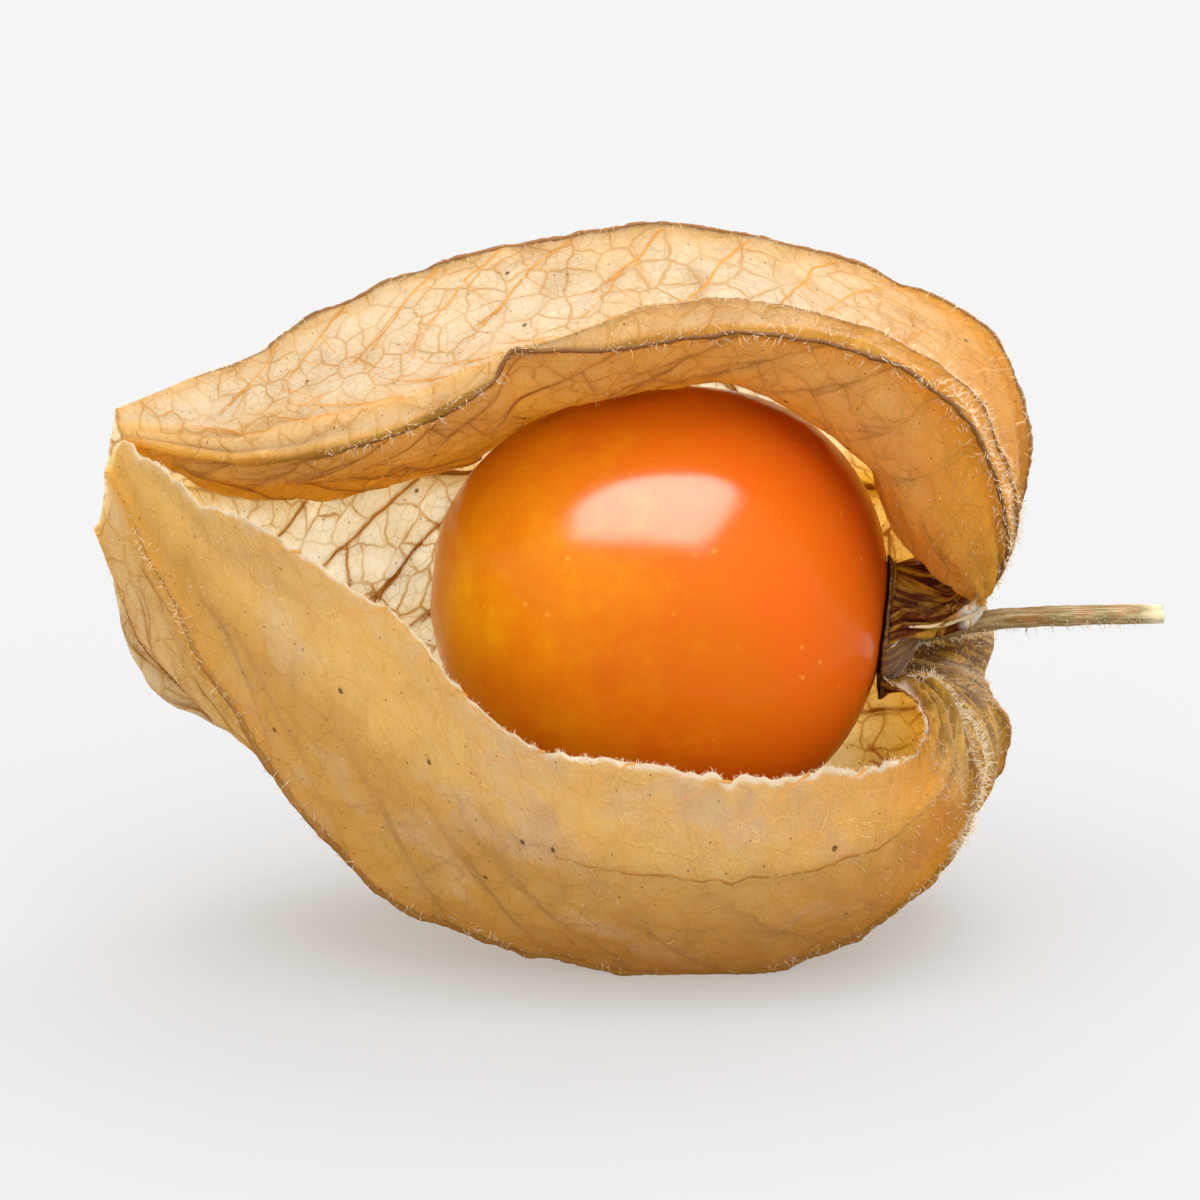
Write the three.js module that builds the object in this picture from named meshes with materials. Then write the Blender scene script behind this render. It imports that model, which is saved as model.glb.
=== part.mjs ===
// A cape gooseberry (physalis) as picked: a ripe berry hanging on its stalk inside the dry, papery
// husk, which is torn open along the front. The husk lies on its underside, with the stalk to the
// right (+X), the torn mouth to the front (-Y) and the pointed tip to the left (-X).
// Millimetres, +Z up. The origin is under the middle of the object, on the surface it lies on.
import * as THREE from 'three';
import { LoftGeometry } from 'three/addons/geometries/LoftGeometry.js';

// Driving dimensions
const BERRY_RADIUS = 9.4; // across its axis
const BERRY_STALK_HALF = 8.4; // from its widest girth to the stalk end
const BERRY_TIP_HALF = 11.6; // from its widest girth to the far end
const BERRY_SQUARENESS = 2.15; // exponent of the outline: 2 is an ellipse
const DIMPLE_DEPTH = 0.7; // the stalk end is pressed in round the receptacle
const DIMPLE_RADIUS = 2.6;
const BERRY_TILT = THREE.MathUtils.degToRad(6); // the stalk end sits lower than the far end
const BERRY_GIRTH = new THREE.Vector3(2.8, 0, 14.6); // middle of the widest girth

const HUSK_THICKNESS = 0.4;
const BERRY_CLEARANCE = 0.55; // between the berry and the middle of the husk's wall, at least
const NODE_POINT = new THREE.Vector3(12.0, 0, 13.1); // where husk, stalk and receptacle join
const NECK_RADIUS = 1.35; // of the husk's narrow ring round the stalk
const ROWS_PER_STRETCH = 4; // rows of the husk between two neighbouring guide points
const COLUMNS_PER_PANEL = 5; // columns of the husk in one panel

const STALK_ROUTE = [
  [11.55, 0, 13.15],
  [12.6, -0.1, 13.25],
  [15.5, -0.3, 13.85],
  [19.5, -0.3, 14.1],
  [23.3, -0.3, 14.15],
];
const STALK_RADIUS = 0.56;
const RECEPTACLE_RADIUS = 0.95; // the stalk's flared inner end, which carries the berry
const STALK_SIDES = 12;
const STALK_STEPS = 24;

// The husk's guide lines, each from the rim round the stalk to the tip. Its five keels and its two
// torn edges are creases; the soft lines between them shape the panels. `turn` is the guide's place
// on the neck ring, in degrees from the top, positive towards the front.
const GUIDES = {
  upperTear: {
    turn: 96,
    line: [[13.4, -3, 14.1], [15.0, -5, 15.5], [12.3, -3.0, 17.2], [9.7, 0.6, 21.8], [3.9, 3, 24.0],
      [-3.1, 5, 21.3], [-10.1, 1.5, 19.6], [-17.4, -1.2, 19.7], [-21.6, -0.3, 21.2]],
  },
  curl: {
    turn: 80,
    line: [[13.5, -4, 14.6], [15.0, -6.5, 16.4], [12.9, -7.5, 18.8], [9.1, -6, 23.1], [3.3, -3, 25.3],
      [-3.5, -2, 23.5], [-10.0, -3, 21.4], [-17.1, -3.6, 20.7], [-21.7, -0.5, 21.6]],
  },
  frontKeel: {
    turn: 58,
    line: [[13.7, -4, 15.1], [15.7, -7, 18.9], [14.0, -9.3, 24.7], [9.9, -8.6, 27.4], [3.3, -6.6, 27.9],
      [-3.7, -7.2, 27.2], [-9.8, -8.6, 24.0], [-16.1, -5.8, 22.1], [-22.0, -0.8, 22.1]],
  },
  frontRib: {
    turn: 42,
    line: [[14.0, -3, 15.1], [16.2, -5, 19.4], [14.6, -7.5, 24.6], [10.4, -7.5, 27.7], [3.3, -5.5, 28.7],
      [-3.7, -7, 27.5], [-9.8, -7.5, 25.1], [-16.3, -5, 23.0], [-22.2, -0.8, 22.5]],
  },
  furrow: {
    turn: 30,
    line: [[14.0, -2.5, 15.1], [16.4, -3.5, 19.7], [15.0, -5.5, 24.4], [10.7, -5.5, 27.1], [3.3, -3.5, 27.9],
      [-3.7, -5, 27.7], [-10.1, -5.5, 25.8], [-16.6, -3.8, 23.4], [-22.3, -0.6, 22.7]],
  },
  topKeel: {
    turn: 0,
    line: [[14.6, 0.5, 15.0], [17.1, 1, 21.2], [15.7, 2, 25.7], [10.4, 2, 28.8], [3.0, 1.5, 30.6],
      [-3.8, 1, 30.5], [-10.3, 0.5, 28.6], [-16.8, 0, 25.2], [-22.4, -0.1, 23.0]],
  },
  upperBack: {
    turn: -48,
    line: [[14.5, 3, 16.5], [16.8, 8, 19.5], [15.0, 11.5, 23.0], [10.0, 12, 26.0], [3.0, 12, 27.3],
      [-4.0, 11, 27.0], [-10.5, 9, 25.4], [-17.0, 4.6, 23.0], [-22.7, 0.6, 21.8]],
  },
  backKeel: {
    turn: -90,
    line: [[14.4, 4, 13.6], [16.3, 9.5, 14.2], [14.0, 14.5, 15.7], [9.0, 16.5, 16.7], [3.0, 16.8, 17.2],
      [-4.0, 15.8, 17.2], [-10.5, 13, 17.5], [-17.0, 7.4, 17.8], [-22.9, 0.8, 20.2]],
  },
  lowerBack: {
    turn: -130,
    line: [[14.3, 3, 10.6], [15.9, 7.5, 8.7], [13.2, 11.5, 7.0], [8.5, 13.5, 6.0], [2.5, 13.5, 6.0],
      [-4.5, 13, 6.4], [-12.6, 9.8, 6.4], [-20.8, 4.8, 9.5], [-23.2, 0.5, 18.2]],
  },
  underKeel: {
    turn: -165,
    line: [[14.0, 0.5, 10.5], [16.3, 2, 8.6], [15.0, 5, 3.8], [9.5, 7, 0.4], [2.5, 7, -0.5],
      [-4.5, 7, 0.0], [-13.0, 6.2, 4.4], [-20.9, 2.4, 11.4], [-23.3, 0, 17.9]],
  },
  footKeel: {
    turn: 163,
    line: [[13.0, -3.5, 11.9], [14.9, -4.5, 7.8], [13.5, -6.5, 5.0], [9.8, -7.5, 1.6], [2.5, -8, -0.3],
      [-4.4, -8, 1.0], [-11.3, -8, 4.3], [-17.9, -5.6, 12.6], [-22.5, -1.1, 20.6]],
  },
  apron: {
    turn: 140,
    line: [[12.4, -4, 11.6], [13.6, -7.5, 9.4], [12.8, -10.5, 8.4], [9.6, -12.5, 6.5], [2.4, -14, 5.9],
      [-3.9, -14, 7.2], [-10.2, -13, 11.7], [-17.3, -7, 17.0], [-22.3, -1.4, 21.6]],
  },
  lowerTear: {
    turn: 118,
    line: [[11.9, -4, 11.6], [12.4, -7, 10.9], [12.1, -8, 9.9], [8.8, -10, 9.8], [2.4, -12, 10.2],
      [-4.7, -12, 11.7], [-10.5, -10, 16.9], [-17.8, -5.2, 20.2], [-21.9, -1.4, 22.3]],
  },
};

// The panels of the husk, from the upper torn edge over the top and round underneath to the lower one
const PANELS = [
  ['upperTear', 'curl', 'frontKeel'],
  ['frontKeel', 'frontRib'],
  ['frontRib', 'furrow', 'topKeel'],
  ['topKeel', 'upperBack', 'backKeel'],
  ['backKeel', 'lowerBack', 'underKeel'],
  ['underKeel', 'footKeel'],
  ['footKeel', 'apron', 'lowerTear'],
];

const berrySkin = new THREE.MeshStandardMaterial({ color: 0xe8750f, roughness: 0.28, metalness: 0 });
const dryHusk = new THREE.MeshStandardMaterial({
  color: 0xdcae62,
  roughness: 0.75,
  metalness: 0,
  side: THREE.DoubleSide,
});
const greenStalk = new THREE.MeshStandardMaterial({ color: 0x7a6a3a, roughness: 0.8, metalness: 0 });

function named(name, geometry, material) {
  const mesh = new THREE.Mesh(geometry, material);
  mesh.name = name;
  return mesh;
}

// The berry is a body of revolution about its stalk axis, fuller towards the stalk, with a shallow
// dimple at the stalk end.
function berry() {
  const profile = [];
  const steps = 36;
  for (let i = 0; i <= steps; i++) {
    const angle = Math.PI * (i / steps);
    const half = angle < Math.PI / 2 ? BERRY_TIP_HALF : BERRY_STALK_HALF;
    const across = Math.sin(angle) ** (2 / BERRY_SQUARENESS) * BERRY_RADIUS;
    let along = -Math.sign(Math.cos(angle)) * Math.abs(Math.cos(angle)) ** (2 / BERRY_SQUARENESS) * half;
    if (along > 0) along -= DIMPLE_DEPTH * Math.exp(-((across / DIMPLE_RADIUS) ** 2));
    const onAxis = i === 0 || i === steps;
    profile.push(new THREE.Vector2(onAxis ? 0 : across, along));
  }
  const mesh = named('berry', new THREE.LatheGeometry(profile, 48), berrySkin);
  mesh.rotation.z = -Math.PI / 2 - BERRY_TILT; // the lathe's +Y becomes the stalk end, to the right
  const upright = new THREE.Group();
  upright.rotation.x = Math.PI / 2;
  upright.position.copy(BERRY_GIRTH);
  upright.add(mesh);
  return upright;
}

// The stalk, with the receptacle that carries the berry as its flared inner end
function stalk() {
  const route = new THREE.CatmullRomCurve3(STALK_ROUTE.map((p) => new THREE.Vector3(...p)));
  const frames = route.computeFrenetFrames(STALK_STEPS);
  const sections = frames.tangents.map((_, i) => {
    const along = i / STALK_STEPS;
    const centre = route.getPointAt(along);
    const radius = STALK_RADIUS + (RECEPTACLE_RADIUS - STALK_RADIUS) * Math.exp(-((along / 0.06) ** 2));
    return Array.from({ length: STALK_SIDES }, (_, j) => {
      const angle = (j / STALK_SIDES) * 2 * Math.PI;
      return centre
        .clone()
        .addScaledVector(frames.normals[i], radius * Math.cos(angle))
        .addScaledVector(frames.binormals[i], radius * Math.sin(angle));
    });
  });
  return named('stalk', new LoftGeometry(sections, { closed: true, capStart: true, capEnd: true }), greenStalk);
}

// Moves a point of the husk straight away from the berry's middle where it would come too close
function keepOffBerry(point) {
  const away = point.clone().sub(BERRY_GIRTH);
  const axis = new THREE.Vector3(Math.cos(BERRY_TILT), 0, -Math.sin(BERRY_TILT));
  const along = away.dot(axis);
  const across = away.clone().addScaledVector(axis, -along).length();
  const half = (along > 0 ? BERRY_STALK_HALF : BERRY_TIP_HALF) + BERRY_CLEARANCE;
  const closeness =
    (Math.abs(along) / half) ** BERRY_SQUARENESS +
    (across / (BERRY_RADIUS + BERRY_CLEARANCE)) ** BERRY_SQUARENESS;
  if (closeness < 1) point.copy(BERRY_GIRTH).addScaledVector(away, closeness ** (-1 / BERRY_SQUARENESS));
}

// A guide's point on the neck ring, which stands square to the stalk
function onNeck(turn) {
  const angle = THREE.MathUtils.degToRad(turn);
  const ring = new THREE.Vector3(0, -Math.sin(angle), Math.cos(angle));
  return ring.multiplyScalar(NECK_RADIUS).add(NODE_POINT);
}

// The husk's middle surface as rows of points from the neck to the tip, each row running from the
// upper torn edge round to the lower one. It lies flat where it touches the surface under it.
function huskSurface() {
  const curves = {};
  for (const [name, { turn, line }] of Object.entries(GUIDES)) {
    const points = [onNeck(turn), ...line.map((p) => new THREE.Vector3(...p))];
    curves[name] = new THREE.CatmullRomCurve3(points, false, 'centripetal');
  }
  const rowCount = GUIDES.topKeel.line.length * ROWS_PER_STRETCH;
  const floor = HUSK_THICKNESS / 2;
  const rows = [];
  for (let i = 0; i <= rowCount; i++) {
    const row = [];
    for (const panel of PANELS) {
      const across = new THREE.CatmullRomCurve3(panel.map((name) => curves[name].getPoint(i / rowCount)));
      for (let j = 0; j < COLUMNS_PER_PANEL; j++) row.push(across.getPoint(j / COLUMNS_PER_PANEL));
    }
    row.push(curves.lowerTear.getPoint(i / rowCount));
    for (const point of row) {
      keepOffBerry(point);
      point.z = Math.max(point.z, floor);
    }
    rows.push(row);
  }
  return rows;
}

// The outward normal at one point of the surface, from its neighbours
function normalAt(rows, i, j) {
  const last = rows[0].length - 1;
  const along = rows[Math.min(i + 1, rows.length - 1)][j].clone().sub(rows[Math.max(i - 1, 0)][j]);
  const round = rows[i][Math.min(j + 1, last)].clone().sub(rows[i][Math.max(j - 1, 0)]);
  const normal = round.cross(along).normalize();
  const flat = rows[i][j].z <= HUSK_THICKNESS / 2;
  return flat ? new THREE.Vector3(0, 0, -1) : normal;
}

// The husk: the surface given its thickness, as one closed C-shaped ring for each row. At the neck
// and at the tip the two faces close on each other in a thin rim.
function husk() {
  const rows = huskSurface();
  const ring = (row, i, half) => {
    const offset = (side) => (p, j) => p.clone().addScaledVector(normalAt(rows, i, j), side * half);
    return [...row.map(offset(1)), ...row.map(offset(-1)).reverse()];
  };
  const sections = rows.map((row, i) => ring(row, i, HUSK_THICKNESS / 2));
  sections.unshift(ring(rows[0], 0, 0));
  sections.push(ring(rows[rows.length - 1], rows.length - 1, 0));
  return named('husk', new LoftGeometry(sections), dryHusk);
}

const physalis = new THREE.Group();
physalis.add(husk(), berry(), stalk());
const extent = new THREE.Box3().setFromObject(physalis);
const middle = extent.getCenter(new THREE.Vector3());
physalis.position.set(-middle.x, -middle.y, -extent.min.z);

export default physalis;
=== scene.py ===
import math

import bpy
import numpy as np
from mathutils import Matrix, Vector, noise


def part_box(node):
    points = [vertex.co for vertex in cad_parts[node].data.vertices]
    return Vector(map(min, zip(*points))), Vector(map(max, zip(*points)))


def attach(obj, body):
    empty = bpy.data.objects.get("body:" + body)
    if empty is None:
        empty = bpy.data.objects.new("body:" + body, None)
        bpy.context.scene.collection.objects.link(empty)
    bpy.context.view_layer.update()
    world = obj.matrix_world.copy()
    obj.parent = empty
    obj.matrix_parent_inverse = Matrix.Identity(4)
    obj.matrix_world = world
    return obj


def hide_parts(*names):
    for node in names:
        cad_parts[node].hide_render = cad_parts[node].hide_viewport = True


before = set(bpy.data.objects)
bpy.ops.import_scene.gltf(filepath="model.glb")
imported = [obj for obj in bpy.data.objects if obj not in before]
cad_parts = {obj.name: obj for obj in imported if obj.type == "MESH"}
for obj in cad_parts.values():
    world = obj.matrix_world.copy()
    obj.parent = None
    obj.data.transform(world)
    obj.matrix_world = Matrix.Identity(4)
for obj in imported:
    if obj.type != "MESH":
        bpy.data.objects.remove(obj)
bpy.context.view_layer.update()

# ---------------------------------------------------------------------------------------------
# Table, light and camera.
# The fruit lies on a plain white sheet that is lit a little from beneath. A softbox hangs over it,
# a card stands in front and one behind, and white walls all round fill the shadows.
# ---------------------------------------------------------------------------------------------
MM = 0.001
BERRY_MIDDLE = Vector((1.066, 0.0, 14.624))  # millimetres, in the measures used below
berry_low, berry_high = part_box("berry")
home = (berry_low + berry_high) / 2 - BERRY_MIDDLE * MM  # where (0, 0, 0) of those measures lies


def linear(code):
    """An sRGB hex colour as linear RGBA."""
    parts = [int(code[i : i + 2], 16) / 255 for i in (1, 3, 5)]
    return tuple(c / 12.92 if c <= 0.04045 else ((c + 0.055) / 1.055) ** 2.4 for c in parts) + (1,)


def add(tree, kind, values=None, links=None, **settings):
    """Adds a node: its settings, its inputs' values, and its inputs' links as (node, output)."""
    node = tree.nodes.new(kind)
    for name, value in settings.items():
        setattr(node, name, value)
    for name, value in (values or {}).items():
        node.inputs[name].default_value = value
    for name, (source, output) in (links or {}).items():
        tree.links.new(source.outputs[output], node.inputs[name])
    return node


def new_material(name):
    material = bpy.data.materials.new(name)
    material.use_nodes = True
    material.node_tree.nodes.clear()
    return material, material.node_tree


scene = bpy.context.scene
scene.view_settings.view_transform = "Standard"
scene.view_settings.look = "None"

# White card: matt, so that it shows only soft shadows, with the light from beneath in its glow
card_white, tree = new_material("white_card")
card = add(tree, "ShaderNodeBsdfPrincipled",
           {"Base Color": linear("#75797E"), "Roughness": 1.0, "Specular IOR Level": 0.0,
            "Emission Color": linear("#ADA69E"), "Emission Strength": 1.0})
add(tree, "ShaderNodeOutputMaterial", links={"Surface": (card, "BSDF")})

FLOOR_HALF = 3.0
sheet = bpy.data.meshes.new("table_sheet")
sheet.from_pydata(
    [(-FLOOR_HALF, -FLOOR_HALF, 0), (FLOOR_HALF, -FLOOR_HALF, 0), (FLOOR_HALF, FLOOR_HALF, 0),
     (-FLOOR_HALF, FLOOR_HALF, 0)], [], [(0, 1, 2, 3)])
sheet.materials.append(card_white)
table = bpy.data.objects.new("table_sheet", sheet)
scene.collection.objects.link(table)

# White walls all round, those behind the fruit a little brighter than those in front of it
FRONT_WALL, BACK_WALL = 1.75, 1.85
world = bpy.data.worlds.new("studio_room")
world.use_nodes = True
room = world.node_tree
direction_in = add(room, "ShaderNodeTexCoord")
direction_split = add(room, "ShaderNodeSeparateXYZ", links={"Vector": (direction_in, "Generated")})
behind = add(room, "ShaderNodeMapRange",
             {"From Min": -0.35, "From Max": 0.25, "To Min": FRONT_WALL, "To Max": BACK_WALL},
             {"Value": (direction_split, "Y")}, interpolation_type="SMOOTHSTEP")
room.nodes["Background"].inputs["Color"].default_value = (1, 1, 1, 1)
room.links.new(behind.outputs["Result"], room.nodes["Background"].inputs["Strength"])
scene.world = world

# name, azimuth (counted from +X towards +Y), elevation, width, height, power in watts, and what it
# is for: "light" falls on matt surfaces only, "shine" is seen in glossy ones only
LAMP_DISTANCE = 7.8
LAMP_AIM = home + Vector((0, 0, 0.0147))
LAMPS = [
    ("overhead_softbox", -98, 72, 7.8, 7.2, 320.0, "light"),
    ("front_card", -70, 30, 10.2, 5.4, 200.0, "light"),
    ("back_card", 75, 40, 7.2, 5.4, 520.0, "light"),
    ("overhead_shine", -114, 71, 6.9, 8.1, 13500.0, "shine"),
    ("side_shine", 30, 14, 3.0, 8.0, 9000.0, "shine"),
]
for name, azimuth, elevation, width, height, power, purpose in LAMPS:
    light = bpy.data.lights.new(name, "AREA")
    light.shape = "RECTANGLE"
    light.size, light.size_y, light.energy = width, height, power
    lamp = bpy.data.objects.new(name, light)
    a, e = math.radians(azimuth), math.radians(elevation)
    away = Vector((math.cos(e) * math.cos(a), math.cos(e) * math.sin(a), math.sin(e)))
    lamp.location = LAMP_AIM + away * LAMP_DISTANCE
    lamp.rotation_euler = away.to_track_quat("Z", "Y").to_euler()
    lamp.visible_glossy = purpose == "shine"
    lamp.visible_diffuse = lamp.visible_transmission = purpose == "light"
    scene.collection.objects.link(lamp)

CAMERA_ELEVATION = math.radians(13)
CAMERA_DISTANCE = 0.292
look_at = home + Vector((-1.38, 0, 14.7)) * MM
camera = bpy.data.objects.new("camera", bpy.data.cameras.new("camera"))
camera.data.lens = 200
camera.data.sensor_width = 36
camera.data.clip_start = 0.01
camera.location = look_at + CAMERA_DISTANCE * Vector(
    (0, -math.cos(CAMERA_ELEVATION), math.sin(CAMERA_ELEVATION)))
camera.rotation_euler = (math.pi / 2 - CAMERA_ELEVATION, 0, 0)
scene.collection.objects.link(camera)
scene.camera = camera

# ---------------------------------------------------------------------------------------------
# The berry: a ripe cape gooseberry, one smooth thin-skinned fruit with firm flesh full of small
# seeds. It grows from the receptacle at its stalk end, where its skin is drawn in, and has a tiny
# dark scar at its other end, where the flower's style sat.
# ---------------------------------------------------------------------------------------------
GIRTH = Vector((2.8, 0, 14.6))  # middle of its widest girth
BERRY_RADIUS = 9.4
TIP_HALF, STALK_HALF = 11.6, 8.4  # from the girth to the far end and to the stalk end
SQUARENESS = 2.15
BERRY_TILT = math.radians(6)
BERRY_AXIS = Vector((math.cos(BERRY_TILT), 0, -math.sin(BERRY_TILT)))


def new_object(name, points, edges=(), faces=()):
    """An object with a mesh, from points in millimetres of this file's measures."""
    mesh = bpy.data.meshes.new(name)
    mesh.from_pydata((np.asarray(points, float) * MM + np.array(home)).tolist(), edges, faces)
    mesh.update()
    made = bpy.data.objects.new(name, mesh)
    scene.collection.objects.link(made)
    return made


def new_piece(name, points, faces, material):
    """A smooth piece of one material."""
    piece = new_object(name, points, faces=faces)
    piece.data.polygons.foreach_set("use_smooth", [True] * len(faces))
    piece.data.materials.append(material)
    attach(piece, "root")
    return piece


def store(piece, name, numbers):
    """Stores one number for each point of a piece."""
    layer = piece.data.attributes.new(name, "FLOAT", "POINT")
    layer.data.foreach_set("value", np.asarray(numbers, np.float32).ravel())


def rough(points, size, seed=0.0, octaves=3):
    """Smooth noise, about -1 to 1, at points in millimetres."""
    flat = np.asarray(points, float).reshape(-1, 3) / size + seed * 7.31
    values = [noise.fractal(Vector(p), 1.0, 2.1, octaves) for p in flat]
    return np.array(values).reshape(np.asarray(points).shape[:-1])


def plug(tree, socket, given):
    """Fills a socket from a (node, output), a hex colour or a number."""
    if isinstance(given, tuple):
        tree.links.new(given[0].outputs[given[1]], socket)
    elif isinstance(given, str):
        socket.default_value = linear(given)
    elif given is not None:
        socket.default_value = given


def socket_mix(tree, factor, first, second, blend="MIX"):
    """Mixes two colours. Each is a hex code or a (node, output)."""
    mix = add(tree, "ShaderNodeMix", data_type="RGBA", blend_type=blend)
    for socket, given in ((mix.inputs[0], factor), (mix.inputs[6], first), (mix.inputs[7], second)):
        plug(tree, socket, given)
    return mix, 2


def sum_of(tree, operation, first, second):
    """A Math node of two terms, each a number or a (node, output)."""
    term = add(tree, "ShaderNodeMath", operation=operation)
    plug(tree, term.inputs[0], first)
    plug(tree, term.inputs[1], second)
    return term, "Value"


def cloudy(tree, where, scale, detail, roughness=0.5, distortion=0.0):
    """Soft noise, read at a (node, output)."""
    return add(tree, "ShaderNodeTexNoise",
               {"Scale": scale, "Detail": detail, "Roughness": roughness, "Distortion": distortion},
               {"Vector": where}), "Fac"


# Fruit skin: thin, waxy and glossy over juicy orange flesh that light sinks into. It is yellower
# towards the far end and redder at the stalk end, with faint pale flecks.
berry_skin, tree = new_material("ripe_berry_skin")
where = add(tree, "ShaderNodeTexCoord")
place = add(tree, "ShaderNodeMapping", {"Location": tuple(-c for c in home)},
            {"Vector": (where, "Object")}, vector_type="POINT")
cloud = cloudy(tree, (place, "Vector"), 300, 6, 0.7)
split = add(tree, "ShaderNodeSeparateXYZ", links={"Vector": (place, "Vector")})
ripeness = add(tree, "ShaderNodeMapRange", {"From Min": -0.0105, "From Max": 0.0125},
               {"Value": (split, "X")})
height = add(tree, "ShaderNodeMapRange",
             {"From Min": 0.005, "From Max": 0.025, "To Min": -0.48, "To Max": -0.26},
             {"Value": (split, "Z")})
ripe = sum_of(tree, "ADD", sum_of(tree, "ADD", (ripeness, "Result"), (height, "Result")),
              sum_of(tree, "MULTIPLY", cloud, 0.9))
hue = add(tree, "ShaderNodeValToRGB", links={"Fac": ripe})
stops = hue.color_ramp.elements
stops[0].position, stops[0].color = 0.08, linear("#D48F0E")
stops[1].position, stops[1].color = 1.0, linear("#C8560E")
for position, code in ((0.32, "#CA760B"), (0.62, "#C05E0A")):
    stops.new(position).color = linear(code)
flecks = add(tree, "ShaderNodeTexVoronoi", {"Scale": 1100}, {"Vector": (place, "Vector")})
fleck_spot = add(tree, "ShaderNodeMapRange",
                 {"From Min": 0.06, "From Max": 0.17, "To Min": 0.2, "To Max": 0.0},
                 {"Value": (flecks, "Distance")})
fleck_split = add(tree, "ShaderNodeSeparateColor", links={"Color": (flecks, "Color")})
fleck = sum_of(tree, "MULTIPLY", (fleck_spot, "Result"),
               sum_of(tree, "GREATER_THAN", (fleck_split, "Red"), 0.8))
flecked = socket_mix(tree, fleck, (hue, "Color"), "#FBC35A")
end_mark = add(tree, "ShaderNodeAttribute", attribute_name="scar")
scarred = socket_mix(tree, (end_mark, "Fac"), flecked, "#5A2E12")
dimples = add(tree, "ShaderNodeBump", {"Strength": 0.12, "Distance": 0.0001},
              {"Height": cloudy(tree, (place, "Vector"), 1500, 2)})
skin = add(tree, "ShaderNodeBsdfPrincipled",
           {"Roughness": 0.19, "IOR": 1.42, "Specular IOR Level": 0.075, "Subsurface Weight": 0.35,
            "Subsurface Radius": (1.0, 0.32, 0.06), "Subsurface Scale": 0.0016},
           {"Base Color": scarred, "Normal": (dimples, "Normal")})
add(tree, "ShaderNodeOutputMaterial", links={"Surface": (skin, "BSDF")})


def berry_profile(angle):
    """Distance along the axis and across it, at an angle from the far end (0) to the stalk end."""
    half = TIP_HALF if angle < math.pi / 2 else STALK_HALF
    across = abs(math.sin(angle)) ** (2 / SQUARENESS) * BERRY_RADIUS
    along = -math.copysign(abs(math.cos(angle)) ** (2 / SQUARENESS), math.cos(angle)) * half
    if along > 0:
        along -= 0.05 * math.exp(-((across / 1.5) ** 2))  # drawn in round the receptacle
    else:
        along += 0.25 * math.exp(-((across / 0.7) ** 2))  # the scar's dimple
    return along, across


BERRY_RINGS, BERRY_SIDES = 150, 180
up = Vector((0, 0, 1)) - BERRY_AXIS * BERRY_AXIS.z
up.normalize()
side = BERRY_AXIS.cross(up)
points, scars = [], []
for i in range(BERRY_RINGS + 1):
    along, across = berry_profile(math.pi * i / BERRY_RINGS)
    ring = [(0, 0)] if i in (0, BERRY_RINGS) else [
        (math.cos(2 * math.pi * j / BERRY_SIDES), math.sin(2 * math.pi * j / BERRY_SIDES))
        for j in range(BERRY_SIDES)]
    for c, s in ring:
        out = up * c + side * s
        point = GIRTH + BERRY_AXIS * along + out * across
        swell = 0.09 * noise.noise(point / 7.0) + 0.02 * noise.noise(point / 2.2)
        points.append(point + (point - GIRTH).normalized() * swell)
        scars.append(math.exp(-((across / 0.3) ** 2)) if along < 0 else 0.0)
last = len(points) - 1
faces = [(0, 1 + (j + 1) % BERRY_SIDES, 1 + j) for j in range(BERRY_SIDES)]
for i in range(BERRY_RINGS - 2):
    a, b = 1 + i * BERRY_SIDES, 1 + (i + 1) * BERRY_SIDES
    faces += [(a + j, a + (j + 1) % BERRY_SIDES, b + (j + 1) % BERRY_SIDES, b + j)
              for j in range(BERRY_SIDES)]
a = 1 + (BERRY_RINGS - 2) * BERRY_SIDES
faces += [(a + j, a + (j + 1) % BERRY_SIDES, last) for j in range(BERRY_SIDES)]
berry = new_piece("ripe_berry", points, faces, berry_skin)
store(berry, "scar", scars)
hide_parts("berry")

# ---------------------------------------------------------------------------------------------
# The husk: the flower's calyx, grown into a lantern with five keels and dried to a skin as thin as
# paper. It joins the stalk in a sunken ring, comes to a pinched tip, and is torn open along the
# front from end to end; above the tear its edge curls in. Its two faces lie 0.14 mm apart.
# ---------------------------------------------------------------------------------------------
WALL = 0.14
NECK_MIDDLE, NECK_RADIUS = np.array([10.9, 0, 13.4]), 2.9
KEEP_OFF = 0.35  # least gap between the berry and the middle of the wall

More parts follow.
